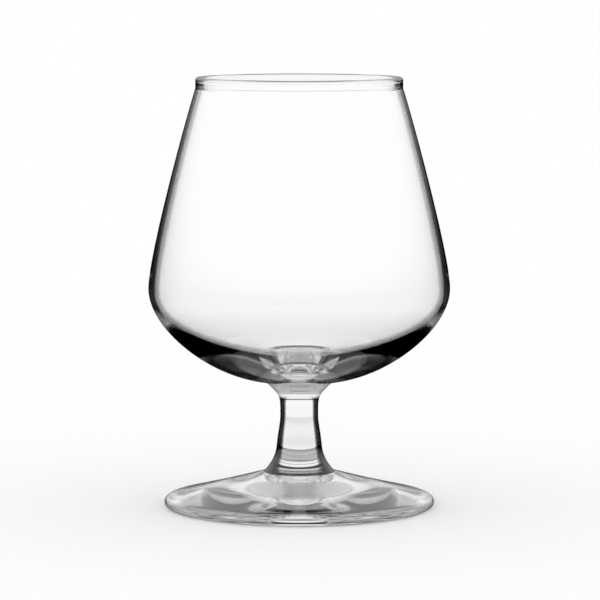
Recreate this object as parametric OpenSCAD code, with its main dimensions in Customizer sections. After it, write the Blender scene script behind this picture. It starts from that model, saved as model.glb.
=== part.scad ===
// Stemmed snifter: a blown bowl, a solid waisted stem and a pressed foot, fused end to end.
// The origin is the centre of the ring that the foot stands on. Sizes are in millimetres.

/* [Bowl] */
// Height of the bowl from its joint with the stem to the top of the rim
bowl_h = 81.5; // [70:0.5:95]
// Outer radius of the bowl at its widest ring
belly_r = 40.4; // [36:0.1:45]
// Height of the widest ring above the joint with the stem
belly_h = 25; // [22:0.5:29]
// Wall thickness at the widest ring
belly_wall = 1.6; // [1.1:0.1:2.5]
// Thickness of the glass under the middle of the drinking space
floor_t = 2; // [1.5:0.1:6]
// Radius over which the floor of the drinking space stays nearly flat
floor_flat_r = 13.3; // [8:0.1:18]
// Depth over which the inner wall turns into the floor
floor_turn_h = 13.6; // [10:0.1:16]
// How far the outer wall stays upright above the widest ring
belly_rise = 8.5; // [6:0.5:12]
// How far the outer wall stays upright below the widest ring
belly_fall = 10.5; // [8:0.5:14]
// How far the underside stays flat, measured from the joint outward
base_reach = 15; // [11:0.1:18]
// Angle at which the underside leaves the joint, from level
base_rise_angle = 4.5; // [1:0.5:9]

/* [Rim] */
// Outer radius of the rim
rim_r = 27.7; // [25:0.1:31]
// Radius of the rounded lip, which is half the thickness of the lip
lip_r = 0.87; // [0.6:0.01:1.2]
// Height of the upright band under the rounded lip
rim_band_h = 2.1; // [1:0.1:4]
// Lean of the neck wall away from upright, just under the rim
neck_lean_angle = 17.8; // [12:0.1:22]
// How far the outer neck wall runs straight below the rim
neck_reach = 9; // [6:0.5:14]

/* [Stem] */
// Height of the stem between its two joints
stem_h = 24.5; // [21:0.1:33]
// Radius of the joint between the stem and the bowl
joint_r = 9.2; // [8:0.1:10.5]
// Radius of the thinnest part of the stem
waist_r = 5.1; // [4:0.1:6]
// Height of the thinnest part above the foot
waist_h = 15.4; // [12.5:0.1:17]
// Radius of the stem just above its spread at the foot
ankle_r = 6.1; // [5.2:0.1:7]
// Height of that place above the foot
ankle_h = 6.9; // [5.5:0.1:9]
// Lean of the stem at that place, away from upright
ankle_angle = 5.2; // [2:0.1:12]
// Angle of the stem's upper flare where it meets the bowl, from upright
flare_angle = 45; // [30:1:50]

/* [Foot] */
// Radius of the foot
foot_r = 36.3; // [32:0.1:42]
// Height of the foot at its joint with the stem
foot_h = 9.2; // [8:0.1:10.5]
// Radius of the joint between the foot and the stem
foot_joint_r = 9.6; // [8.5:0.1:12]
// Thickness of the foot at its edge
foot_edge_t = 2.4; // [1.6:0.1:3]
// Slope of the top of the foot near its edge
foot_edge_angle = 13.7; // [10:0.1:16]
// Slope of the top of the foot at the joint
foot_top_angle = 15.5; // [11:0.1:19]
// Width of the flat ring that the foot stands on
ring_w = 3; // [1.5:0.1:5]
// Depth of the hollow under the foot at its centre
hollow_h = 5.3; // [3:0.1:6.2]

/* [Hidden] */
$fn = 128;
curve_steps = 20;
arc_steps = 12;

// Lengths and angles that shape the inner neck, the stem's curves, the foot and its hollow
inner_neck_reach = 11.2;
inner_belly_rise = 9.5;
flare_rise = 5.7;
flare_reach = 5.7;
waist_fall = 2.6;
ankle_rise = 4.2;
ankle_fall = 3.8;
spread_reach = 1;
spread_angle = 45;
foot_edge_reach = 15;
foot_top_reach = 6;
hollow_top_reach = 16;
hollow_edge_reach = 24;
hollow_edge_angle = 4;

bowl_z = foot_h + stem_h;
foot_round_r = foot_edge_t / 2;

// A unit step at an angle from level, and one at an angle from upright
function level_step(angle) = [cos(angle), sin(angle)];
function upright_step(angle) = [sin(angle), cos(angle)];

// Points of a smooth curve from a to d that leaves towards b and arrives from c, without a itself
function curve(a, b, c, d) = [
    for (i = [1:curve_steps])
        let (t = i / curve_steps, u = 1 - t)
        u * u * u * a + 3 * u * u * t * b + 3 * u * t * t * c + t * t * t * d
];

// Points of an arc between two angles
function arc(centre, radius, from, to) = [
    for (i = [0:arc_steps])
        centre + radius * level_step(from + (to - from) * i / arc_steps)
];

// The outer wall, from the joint up over the widest ring to the upright band of the rim
joint_edge = [joint_r, 0];
belly = [belly_r, belly_h];
band_foot = [rim_r, bowl_h - lip_r - rim_band_h];
outer_wall = concat(
    [joint_edge],
    curve(joint_edge, joint_edge + base_reach * level_step(base_rise_angle),
        belly - [0, belly_fall], belly),
    curve(belly, belly + [0, belly_rise],
        band_foot - neck_reach * upright_step(-neck_lean_angle), band_foot)
);

// The rounded lip, and the inner wall from it down to the middle of the floor
lip_centre = [rim_r - lip_r, bowl_h - lip_r];
lip_inside = lip_centre - [lip_r, 0];
inner_belly = belly - [belly_wall, 0];
floor_centre = [0, floor_t];
inner_wall = concat(
    curve(lip_inside, lip_inside - inner_neck_reach * upright_step(-neck_lean_angle),
        inner_belly + [0, inner_belly_rise], inner_belly),
    curve(inner_belly, inner_belly - [0, floor_turn_h],
        floor_centre + [floor_flat_r, 0], floor_centre)
);

module bowl() {
    color("lightcyan")
        translate([0, 0, bowl_z])
            rotate_extrude()
                polygon(concat([[0, 0]], outer_wall, arc(lip_centre, lip_r, 0, 180), inner_wall));
}

// The stem's side, from the foot up past the ankle and the waist to the flare
spread = [foot_joint_r, 0];
ankle = [ankle_r, ankle_h];
waist = [waist_r, waist_h];
flare = [joint_r, stem_h];
stem_side = concat(
    [spread],
    curve(spread, spread + spread_reach * upright_step(-spread_angle),
        ankle - ankle_fall * upright_step(-ankle_angle), ankle),
    curve(ankle, ankle + ankle_rise * upright_step(-ankle_angle),
        waist - [0, waist_fall], waist),
    curve(waist, waist + [0, flare_rise],
        flare - flare_reach * upright_step(flare_angle), flare)
);

module stem() {
    color("azure")
        translate([0, 0, foot_h])
            rotate_extrude()
                polygon(concat([[0, 0]], stem_side, [[0, stem_h]]));
}

// The foot: a ring to stand on, a rounded edge, a low cone on top and a hollow beneath
foot_round_centre = [foot_r - foot_round_r, foot_round_r];
foot_round_end = foot_round_centre + foot_round_r * upright_step(foot_edge_angle);
foot_joint_edge = [foot_joint_r, foot_h];
ring_inside = [foot_round_centre.x - ring_w, 0];
foot_edge = arc(foot_round_centre, foot_round_r, -90, 90 - foot_edge_angle);
foot_top = curve(foot_round_end, foot_round_end + foot_edge_reach * level_step(180 - foot_edge_angle),
    foot_joint_edge + foot_top_reach * level_step(-foot_top_angle), foot_joint_edge);
hollow_top = [0, hollow_h];
foot_hollow = curve(hollow_top, hollow_top + [hollow_top_reach, 0],
    ring_inside + hollow_edge_reach * level_step(180 - hollow_edge_angle), ring_inside);

module foot() {
    color("paleturquoise")
        rotate_extrude()
            polygon(concat(foot_edge, foot_top, [[0, foot_h], hollow_top], foot_hollow));
}

bowl();
stem();
foot();
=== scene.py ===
import math

import bpy
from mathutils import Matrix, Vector


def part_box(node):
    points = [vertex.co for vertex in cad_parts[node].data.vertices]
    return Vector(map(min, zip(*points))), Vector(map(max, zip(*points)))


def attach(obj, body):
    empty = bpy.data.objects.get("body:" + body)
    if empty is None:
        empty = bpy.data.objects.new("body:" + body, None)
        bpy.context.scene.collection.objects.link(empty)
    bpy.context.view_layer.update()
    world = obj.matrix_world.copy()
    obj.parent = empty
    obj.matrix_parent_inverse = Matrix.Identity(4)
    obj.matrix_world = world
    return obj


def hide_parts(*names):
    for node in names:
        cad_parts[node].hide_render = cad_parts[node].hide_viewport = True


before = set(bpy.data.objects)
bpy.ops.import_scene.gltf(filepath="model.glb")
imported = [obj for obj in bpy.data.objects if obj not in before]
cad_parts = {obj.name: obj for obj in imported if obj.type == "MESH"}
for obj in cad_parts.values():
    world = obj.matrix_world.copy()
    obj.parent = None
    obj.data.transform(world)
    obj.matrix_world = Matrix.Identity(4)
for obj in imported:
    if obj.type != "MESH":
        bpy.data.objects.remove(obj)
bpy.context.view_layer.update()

# The bowl is blown from clear soda-lime glass: widest low down, thickest round the base, and drawn
# in to a neck whose cut edge is melted back into a rounded lip. It is fused hot onto the stem.
MM = 0.001
TURN_STEPS = 256
CURVE_STEPS = 48
BEAD_STEPS = 24
JOINT_STEPS = 6
TOUCHING = 1e-7
SHARP_ANGLE = math.radians(25)
GLASS_IOR = 1.52

bowl_low, bowl_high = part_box("bowl")
rim_top = bowl_high.z
belly_r = bowl_high.x
belly_h = 25 * MM
belly_wall = 1.6 * MM
joint_r = 9.2 * MM
base_reach = 15 * MM
base_rise_angle = math.radians(4.5)
belly_fall = 10.5 * MM
belly_rise = 8.5 * MM
rim_r = 27.7 * MM
rim_band_h = 2.1 * MM
lip_r = 0.87 * MM
neck_lean_angle = math.radians(17.8)
neck_reach = 9 * MM
inner_neck_reach = 11.2 * MM
inner_belly_rise = 9.5 * MM
floor_t = 2 * MM
floor_flat_r = 13.3 * MM
floor_turn_h = 13.6 * MM


def out(reach):
    """A level step outward. Outlines are pairs of a radius and a height."""
    return Vector((reach, 0))


def up(rise):
    """A step straight up."""
    return Vector((0, rise))


def level_step(angle):
    """A unit step at an angle from level."""
    return Vector((math.cos(angle), math.sin(angle)))


def upright_step(angle):
    """A unit step at an angle from upright."""
    return Vector((math.sin(angle), math.cos(angle)))


def sweep(start, leave, arrive, end):
    """Points of a smooth curve from start, not counted, towards leave, and from arrive to end."""
    points = []
    for i in range(1, CURVE_STEPS + 1):
        t = i / CURVE_STEPS
        u = 1 - t
        points.append(u**3 * start + 3 * u * u * t * leave + 3 * u * t * t * arrive + t**3 * end)
    return points


def bead(centre, radius, first, last):
    """Points of an arc between two angles."""
    return [
        centre + radius * level_step(first + (last - first) * i / BEAD_STEPS)
        for i in range(BEAD_STEPS + 1)
    ]


def level_run(start, end, steps=JOINT_STEPS):
    """Points on a straight line from start, not counted, to end."""
    return [start.lerp(end, i / steps) for i in range(1, steps + 1)]


def turn_glass(name, outline, fused_heights):
    """A closed solid, turned round the upright axis from an outline that starts and ends on it.
    Faces at a fused height get the second material, because the glass runs on there."""
    verts, rings, faces, fused = [], [], [], []
    for point in outline:
        first = len(verts)
        if point.x < TOUCHING:
            rings.append([first] * TURN_STEPS)
            verts.append((0, 0, point.y))
            continue
        rings.append(list(range(first, first + TURN_STEPS)))
        for i in range(TURN_STEPS):
            angle = math.tau * i / TURN_STEPS
            verts.append((point.x * math.cos(angle), point.x * math.sin(angle), point.y))
    for k, (low, high) in enumerate(zip(rings, rings[1:])):
        heights = outline[k].y, outline[k + 1].y
        level = any(all(abs(z - joint) < TOUCHING for z in heights) for joint in fused_heights)
        for i in range(TURN_STEPS):
            j = (i + 1) % TURN_STEPS
            corners = [low[i], low[j], high[j], high[i]]
            faces.append([v for n, v in enumerate(corners) if v not in corners[:n]])
            fused.append(int(level))
    mesh = bpy.data.meshes.new(name)
    mesh.from_pydata(verts, [], faces)
    mesh.polygons.foreach_set("use_smooth", [True] * len(faces))
    mesh.polygons.foreach_set("material_index", fused)
    mesh.set_sharp_from_angle(angle=SHARP_ANGLE)
    mesh.update()
    solid = bpy.data.objects.new(name, mesh)
    bpy.context.scene.collection.objects.link(solid)
    return solid


bowl_foot = up(bowl_low.z)
joint_edge = bowl_foot + out(joint_r)
belly = Vector((belly_r, bowl_foot.y + belly_h))
lip_centre = Vector((rim_r - lip_r, rim_top - lip_r))
lip_inside = lip_centre - out(lip_r)
band_foot = lip_centre + Vector((lip_r, -rim_band_h))
inner_belly = belly - out(belly_wall)
floor_centre = bowl_foot + up(floor_t)

outer_wall = (
    sweep(joint_edge, joint_edge + base_reach * level_step(base_rise_angle),
          belly - up(belly_fall), belly)
    + sweep(belly, belly + up(belly_rise),
            band_foot - neck_reach * upright_step(-neck_lean_angle), band_foot)
)
inner_wall = (
    sweep(lip_inside, lip_inside - inner_neck_reach * upright_step(-neck_lean_angle),
          inner_belly + up(inner_belly_rise), inner_belly)
    + sweep(inner_belly, inner_belly - up(floor_turn_h),
            floor_centre + out(floor_flat_r), floor_centre)
)
bowl_outline = (
    [bowl_foot] + level_run(bowl_foot, joint_edge) + outer_wall
    + bead(lip_centre, lip_r, 0, math.pi) + inner_wall
)
bowl = turn_glass("bowl_blown", bowl_outline, [bowl_foot.y])


def grey(strength):
    """A grey, from nought for black to one for white."""
    return (strength, strength, strength, 1)


WHITE = grey(1)


def clear_glass(name, ripple_scale, ripple_depth, haze):
    """Clear glass with the faint ripple and uneven polish that it has from the fire."""
    ripple_detail = 1
    smear_scale, smear_detail = 90, 3
    smear_low, smear_high = 0.45, 0.75
    glass = bpy.data.materials.new(name)
    glass.use_nodes = True
    nodes, links = glass.node_tree.nodes, glass.node_tree.links
    shader = nodes["Principled BSDF"]
    shader.inputs["Base Color"].default_value = WHITE
    shader.inputs["Transmission Weight"].default_value = 1
    shader.inputs["IOR"].default_value = GLASS_IOR
    place = nodes.new("ShaderNodeTexCoord")
    ripple = nodes.new("ShaderNodeTexNoise")
    ripple.inputs["Scale"].default_value = ripple_scale
    ripple.inputs["Detail"].default_value = ripple_detail
    bump = nodes.new("ShaderNodeBump")
    bump.inputs["Strength"].default_value = 1
    bump.inputs["Distance"].default_value = ripple_depth
    smear = nodes.new("ShaderNodeTexNoise")
    smear.inputs["Scale"].default_value = smear_scale
    smear.inputs["Detail"].default_value = smear_detail
    polish = nodes.new("ShaderNodeMapRange")
    polish.inputs["From Min"].default_value = smear_low
    polish.inputs["From Max"].default_value = smear_high
    polish.inputs["To Max"].default_value = haze
    links.new(place.outputs["Object"], ripple.inputs["Vector"])
    links.new(place.outputs["Object"], smear.inputs["Vector"])
    links.new(ripple.outputs["Fac"], bump.inputs["Height"])
    links.new(smear.outputs["Fac"], polish.inputs["Value"])
    links.new(bump.outputs["Normal"], shader.inputs["Normal"])
    links.new(polish.outputs["Result"], shader.inputs["Roughness"])
    return glass


def grey_ramp(value, steps):
    """Grey by a socket's value: pairs of a place from 0 to 1 and a strength."""
    tree = value.id_data
    node = tree.nodes.new("ShaderNodeValToRGB")
    stops = node.color_ramp.elements
    stops.remove(stops[1])
    for k, (place, strength) in enumerate(steps):
        stop = stops.new(place) if k else stops[0]
        stop.position = place
        stop.color = grey(strength)
    tree.links.new(value, node.inputs["Fac"])
    return node.outputs["Color"]


def paint_edge_shade(glass, shade_stops):
    """Painted shade: the glass's colour is darkened by how edge on its surface is seen, standing
    in for the dark sides of the room that such glass bends light from. Stops are pairs of how
    squarely the surface is faced, from 1 down to 0, and the share of light passed."""
    tree = glass.node_tree
    turn = tree.nodes.new("ShaderNodeLayerWeight")
    shade_colour = grey_ramp(turn.outputs["Facing"], [(1 - squarely, share) for squarely, share in shade_stops])
    tree.links.new(shade_colour, tree.nodes["Principled BSDF"].inputs["Base Color"])
    return shade_colour


def fused_joint(name, clearness):
    """The face inside a fused joint: the glass runs on through it and loses a little light."""
    joint = bpy.data.materials.new(name)
    joint.use_nodes = True
    nodes, links = joint.node_tree.nodes, joint.node_tree.links
    nodes.remove(nodes["Principled BSDF"])
    through = nodes.new("ShaderNodeBsdfTransparent")
    through.inputs["Color"].default_value = grey(clearness)
    links.new(through.outputs["BSDF"], nodes["Material Output"].inputs["Surface"])
    return joint


# Painted shade: the bowl's glass is darkened in its colour where it is seen edge on.
bowl_painted_edge_shade = [(0.28, 1), (0.24, 0.5), (0.18, 0.3), (0.1, 0.4), (0, 0.7)]
joint_face = fused_joint("fused_joint", clearness=0.97)
bowl_glass = clear_glass("bowl_glass", ripple_scale=60, ripple_depth=0.004 * MM, haze=0.02)
paint_edge_shade(bowl_glass, bowl_painted_edge_shade)
bowl.data.materials.append(bowl_glass)
bowl.data.materials.append(joint_face)
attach(bowl, "root")
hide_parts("bowl")

# The stem is a short solid rod of the same glass, drawn hot to a waist and flared at both ends.
# Its ends are fused to the bowl above and to the foot below, so no seam shows.
stem_low, stem_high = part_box("stem")
foot_joint_r = 9.6 * MM
spread_reach = 1 * MM
spread_angle = math.radians(45)
ankle_r = 6.1 * MM
ankle_h = 6.9 * MM
ankle_angle = math.radians(5.2)
ankle_fall = 3.8 * MM
ankle_rise = 4.2 * MM
waist_r = 5.1 * MM
waist_h = 15.4 * MM
waist_fall = 2.6 * MM
flare_rise = 5.7 * MM
flare_reach = 5.7 * MM
flare_angle = math.radians(45)
# Heights between which the painted shade on the shaft fades out.
painted_shade_full_below = 29.2 * MM
painted_shade_gone_above = 30.4 * MM

stem_foot = up(stem_low.z)
stem_top = up(stem_high.z)
spread = stem_foot + out(foot_joint_r)
ankle = stem_foot + Vector((ankle_r, ankle_h))
waist = stem_foot + Vector((waist_r, waist_h))
flare = stem_top + out(joint_r)
stem_outline = (
    [stem_foot] + level_run(stem_foot, spread)
    + sweep(spread, spread + spread_reach * upright_step(-spread_angle),
            ankle - ankle_fall * upright_step(-ankle_angle), ankle)
    + sweep(ankle, ankle + ankle_rise * upright_step(-ankle_angle), waist - up(waist_fall), waist)
    + sweep(waist, waist + up(flare_rise), flare - flare_reach * upright_step(flare_angle), flare)
    + level_run(flare, stem_top)
)
stem = turn_glass("stem_drawn", stem_outline, [stem_foot.y, stem_top.y])
stem_glass = clear_glass("stem_glass", ripple_scale=120, ripple_depth=0.003 * MM, haze=0.02)


def ease(value, first, last):
    """Nought where a socket's value is under the first, one over the last, smooth between them."""
    tree = value.id_data
    node = tree.nodes.new("ShaderNodeMapRange")
    node.interpolation_type = "SMOOTHSTEP"
    node.inputs["From Min"].default_value = first
    node.inputs["From Max"].default_value = last
    tree.links.new(value, node.inputs["Value"])
    return node.outputs["Result"]


def choose(switch, low, high):
    """The low colour where the switch is nought and the high one where it is one."""
    tree = switch.id_data
    node = tree.nodes.new("ShaderNodeMix")
    node.data_type = "RGBA"
    tree.links.new(switch, node.inputs[0])
    for side, colour in ((node.inputs[6], low), (node.inputs[7], high)):
        if isinstance(colour, tuple):
            side.default_value = colour
        else:
            tree.links.new(colour, side)
    return node.outputs[2]


# Painted shade: the shaft's glass is darkened in its colour where it is seen edge on. On the flare
# under the bowl the painted shade fades out, so it is pale again.
shaft_painted_edge_shade = [(0.73, 1), (0.67, 0.1), (0.61, 0.001), (0, 0.0004)]
shaft_painted_shade = paint_edge_shade(stem_glass, shaft_painted_edge_shade)
stem_tree = stem_glass.node_tree
stem_place = stem_tree.nodes.new("ShaderNodeTexCoord")
stem_split = stem_tree.nodes.new("ShaderNodeSeparateXYZ")
stem_tree.links.new(stem_place.outputs["Object"], stem_split.inputs["Vector"])
over_shaft = ease(stem_split.outputs["Z"], painted_shade_full_below, painted_shade_gone_above)
stem_painted_shade = choose(over_shaft, shaft_painted_shade, WHITE)
stem_tree.links.new(stem_painted_shade, stem_tree.nodes["Principled BSDF"].inputs["Base Color"])
stem.data.materials.append(stem_glass)
stem.data.materials.append(joint_face)
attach(stem, "root")
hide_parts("stem")

# The foot is pressed from a gather of the same glass and spun out: a low cone on top, a rounded
# edge, and a domed hollow beneath that flattens outward, so that it stands on a narrow ring.
foot_low, foot_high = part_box("foot")
foot_r = foot_high.x
foot_round_r = 1.2 * MM
foot_edge_angle = math.radians(13.7)
foot_edge_reach = 15 * MM
foot_top_angle = math.radians(15.5)
foot_top_reach = 6 * MM
ring_w = 3 * MM
ring_steps = 4
hollow_h = 5.3 * MM
hollow_top_reach = 16 * MM
hollow_edge_angle = math.radians(4)
hollow_edge_reach = 24 * MM

foot_top = up(foot_high.z)
foot_joint_edge = foot_top + out(foot_joint_r)
round_centre = Vector((foot_r - foot_round_r, foot_low.z + foot_round_r))
round_end = round_centre + foot_round_r * upright_step(foot_edge_angle)
ring_outside = round_centre - up(foot_round_r)
ring_inside = ring_outside - out(ring_w)
hollow_top = up(foot_low.z + hollow_h)
foot_outline = (
    [hollow_top]
    + sweep(hollow_top, hollow_top + out(hollow_top_reach),
            ring_inside + hollow_edge_reach * level_step(math.pi - hollow_edge_angle), ring_inside)
    + level_run(ring_inside, ring_outside, ring_steps)[:-1]
    + bead(round_centre, foot_round_r, -math.pi / 2, math.pi / 2 - foot_edge_angle)
    + sweep(round_end, round_end + foot_edge_reach * level_step(math.pi - foot_edge_angle),
            foot_joint_edge + foot_top_reach * level_step(-foot_top_angle), foot_joint_edge)
    + level_run(foot_joint_edge, foot_top)
)
foot = turn_glass("foot_pressed", foot_outline, [foot_top.y])
foot_glass = clear_glass("foot_glass", ripple_scale=45, ripple_depth=0.006 * MM, haze=0.02)
foot.data.materials.append(foot_glass)
foot.data.materials.append(joint_face)
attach(foot, "root")
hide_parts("foot")

# The table is a plain white floor that the glass stands on. It isn't part of the glass. Light that
# has been through the glass sees it only beneath the foot, and further out sees the room below.
floor_half = 20
floor_gap = 0.05 * MM
seen_within = 30 * MM
unseen_beyond = 36 * MM
floor_mesh = bpy.data.meshes.new("floor")
floor_corners = ((-1, -1), (1, -1), (1, 1), (-1, 1))
floor_mesh.from_pydata(
    [(x * floor_half, y * floor_half, -floor_gap) for x, y in floor_corners], [], [(0, 1, 2, 3)]
)
floor = bpy.data.objects.new("floor", floor_mesh)
bpy.context.scene.collection.objects.link(floor)
floor.visible_glossy = False
matt_white = bpy.data.materials.new("matt_white")
matt_white.use_nodes = True
paint = matt_white.node_tree
coat = paint.nodes["Principled BSDF"]
coat.inputs["Base Color"].default_value = WHITE
coat.inputs["Roughness"].default_value = 1
coat.inputs["Specular IOR Level"].default_value = 0
spot = paint.nodes.new("ShaderNodeTexCoord")
from_middle = paint.nodes.new("ShaderNodeVectorMath")
from_middle.operation = "LENGTH"
paint.links.new(spot.outputs["Object"], from_middle.inputs[0])
beyond = ease(from_middle.outputs["Value"], seen_within, unseen_beyond)
seen = paint.nodes.new("ShaderNodeLightPath")
unseen = paint.nodes.new("ShaderNodeMath")
unseen.operation = "SUBTRACT"
unseen.use_clamp = True
gone = paint.nodes.new("ShaderNodeBsdfTransparent")
either = paint.nodes.new("ShaderNodeMixShader")
paint.links.new(beyond, unseen.inputs[0])
paint.links.new(seen.outputs["Is Camera Ray"], unseen.inputs[1])
paint.links.new(unseen.outputs[0], either.inputs["Fac"])
paint.links.new(coat.outputs["BSDF"], either.inputs[1])
paint.links.new(gone.outputs["BSDF"], either.inputs[2])
paint.links.new(either.outputs["Shader"], paint.nodes["Material Output"].inputs["Surface"])
floor_mesh.materials.append(matt_white)

# The light is an even white studio. Clear glass shows only the room that it bends and mirrors, so
# the room's brightness goes by height over the horizon, and by how often a ray has gone through
# the glass or been turned round inside it. That sets the dark edges against the pale middle,
# together with the shade painted into the bowl's and the shaft's glass where they are seen edge
# on.
glass_bounces = 64
dull = grey(0.55)
ahead_over = 0.1
sideways_over = 0.8
sideways_wholly = 0.9
world = bpy.data.worlds.new("studio")
bpy.context.scene.world = world
world.use_nodes = True
world.cycles.sampling_method = "NONE"
room = world.node_tree
look = room.nodes.new("ShaderNodeTexCoord")
split = room.nodes.new("ShaderNodeSeparateXYZ")
room.links.new(look.outputs["Generated"], split.inputs["Vector"])
height = room.nodes.new("ShaderNodeMapRange")
height.inputs["From Min"].default_value = -1
room.links.new(split.outputs["Z"], height.inputs["Value"])
path = room.nodes.new("ShaderNodeLightPath")


def over(value, limit):
    """One where a socket's value is over the limit, otherwise nought."""
    node = room.nodes.new("ShaderNodeMath")
    node.operation = "GREATER_THAN"
    room.links.new(value, node.inputs[0])
    node.inputs[1].default_value = limit
    return node.outputs[0]


def happened(depth, times):
    """One once a ray has been let through or turned back so many times, otherwise nought."""
    return over(path.outputs[depth], times - 0.5)


def by_height(*bands):
    """Brightness of the room: pairs of an angle over the horizon, in degrees, and a strength."""
    steps = [((math.sin(math.radians(angle)) + 1) / 2, strength) for angle, strength in bands]
    return grey_ramp(height.outputs["Result"], steps)


entered = happened("Transmission Depth", 1)
through_both = happened("Transmission Depth", 4)
turned = happened("Glossy Depth", 1)
turned_again = happened("Glossy Depth", 2)
turned_much = happened("Glossy Depth", 5)
turned_more = happened("Glossy Depth", 15)
trapped = happened("Glossy Depth", 27)
lit = happened("Diffuse Depth", 1)
ahead = over(split.outputs["Y"], ahead_over)
aside = room.nodes.new("ShaderNodeMath")
aside.operation = "ABSOLUTE"
room.links.new(split.outputs["X"], aside.inputs[0])
sideways = ease(aside.outputs[0], sideways_over, sideways_wholly)

# Mirrored on the outside of the glass: pale overhead, dark from the horizon down.
mirrored = by_height((-90, 0), (0, 0), (6, 0.5), (12, 0.85), (30, 1))

# Seen straight through one wall or both: white about the horizon, with dark cards above and below.
straight_near = by_height(
    (-90, 0.8), (-62, 0.8), (-56, 0), (-37, 0), (-33, 0.9), (-22, 0.95), (-18, 0.9), (-15, 0.8),
    (-11, 0.8), (-9.5, 1), (12, 1), (17, 0.02), (40, 0.02), (48, 0.85), (90, 0.9),
)
straight_far = by_height(
    (-90, 0.8), (-62, 0.8), (-56, 0), (-37, 0), (-33, 0.8), (-26, 0.8), (-20, 0.82), (-14, 0.92),
    (-10, 1), (12, 1), (17, 0.02), (40, 0.02), (48, 0.85), (90, 0.9),
)
straight = choose(through_both, straight_near, straight_far)

# Turned round inside the glass: once, a few times, several times and most often. From several
# times on it also matters whether the ray comes out ahead, behind or sideways.
turned_once = by_height(
    (-90, 0.25), (-60, 0.18), (-50, 0.05), (-30, 0.05), (-24, 0.15), (-19, 0.15), (-14, 0.02),
    (2, 0.02), (12, 0.9), (90, 1),
)
turned_few = by_height(
    (-90, 0.1), (-35, 0.1), (-28, 0.02), (-12, 0.02), (-5, 0.2), (5, 0.15), (20, 0.5), (35, 0.9),
    (90, 1),
)
several_ahead = by_height(
    (-90, 0.4), (-30, 0.2), (-14, 0), (25, 0), (35, 0.3), (52, 0.3), (60, 1), (90, 1)
)
several_behind = by_height((-90, 0.9), (20, 0.9), (35, 0.5), (52, 0.5), (60, 1), (90, 1))
several_beside = by_height((-90, 0.5), (0, 0.35), (90, 0.35))
turned_several = choose(ahead, several_behind, choose(sideways, several_ahead, several_beside))
most_ahead = by_height((-90, 0.3), (-40, 0.3), (-30, 0), (90, 0))
most_behind = by_height(
    (-90, 0.5), (-40, 0.5), (-30, 0), (50, 0), (58, 0.4), (82, 0.4), (90, 0.1)
)
turned_most = choose(trapped, choose(ahead, most_behind, most_ahead), dull)
turned_lots = choose(turned_more, turned_several, turned_most)
turned_near = choose(turned_again, turned_once, choose(turned_much, turned_few, turned_lots))
turned_far = choose(turned_much, WHITE, turned_lots)

# The table is lit by white from all round. Everything else shows what its own path has chosen.
shown_inside = choose(turned, straight, choose(through_both, turned_near, turned_far))
shown_outside = choose(turned, WHITE, mirrored)
shown = choose(lit, choose(entered, shown_outside, shown_inside), WHITE)
room.links.new(shown, room.nodes["Background"].inputs["Color"])
cycles = bpy.context.scene.cycles
cycles.max_bounces = glass_bounces
cycles.transmission_bounces = glass_bounces
cycles.glossy_bounces = glass_bounces

# The camera stands where the photograph was taken from: nearly level, a little above the rim.
camera_distance = 919.9 * MM
camera_height = 149.9 * MM
aim = Vector((0.2 * MM, 0, 55.5 * MM))
lens = bpy.data.cameras.new("camera")
lens.sensor_width = 36
lens.lens = 207
camera = bpy.data.objects.new("camera", lens)
camera.location = (aim.x, -camera_distance, camera_height)
camera.rotation_mode = "QUATERNION"
camera.rotation_quaternion = (aim - camera.location).to_track_quat("-Z", "Y")
bpy.context.scene.collection.objects.link(camera)
bpy.context.scene.camera = camera
bpy.context.scene.view_settings.view_transform = "Standard"
